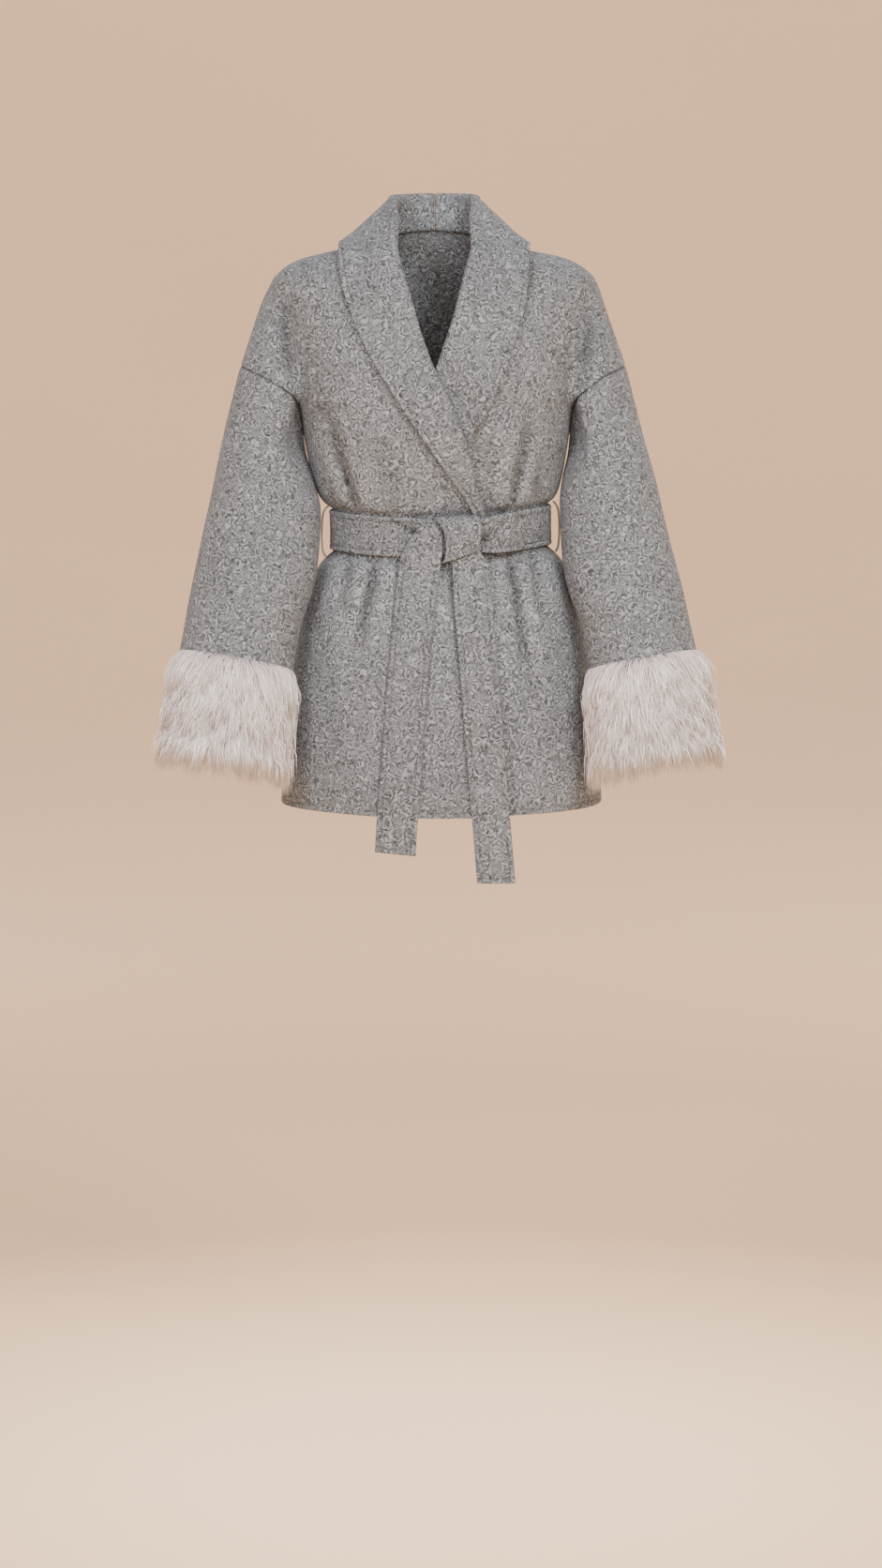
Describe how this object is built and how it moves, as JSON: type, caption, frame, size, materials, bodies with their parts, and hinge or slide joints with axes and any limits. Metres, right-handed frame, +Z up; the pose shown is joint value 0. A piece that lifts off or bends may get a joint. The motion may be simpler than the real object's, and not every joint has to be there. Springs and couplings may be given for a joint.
{
  "type": "wrap coat",
  "caption": "Thigh-length wrap coat in its worn form, with a shawl collar, dropped sleeves, deep fur cuffs and a knotted belt of its own cloth.",
  "frame": {"origin": "midway between the two points where the shoulder seams meet the neck seam, where the wearer's shoulders hold the coat", "axes": "+Z up; the front faces -Y; +X is the wearer's left"},
  "size_m": [0.683, 0.3243, 0.8211],
  "materials": {
    "felted_wool": "matt, grey, felted with short worm-like curls of lighter and darker yarn",
    "long_hair_fur": "long soft hair, pale grey with darker roots"
  },
  "bodies": {
    "root": {"back_panel": "felted_wool", "front_right": "felted_wool", "front_left": "felted_wool", "sleeve_right": "felted_wool", "sleeve_left": "felted_wool", "collar_right": "felted_wool", "collar_left": "felted_wool", "fur_cuff_right": "long_hair_fur", "fur_cuff_left": "long_hair_fur", "belt_band": "felted_wool", "belt_knot": "felted_wool", "belt_tail_right": "felted_wool", "belt_tail_left": "felted_wool", "belt_loop_right": "felted_wool", "belt_loop_left": "felted_wool"}
  },
  "joints": []
}
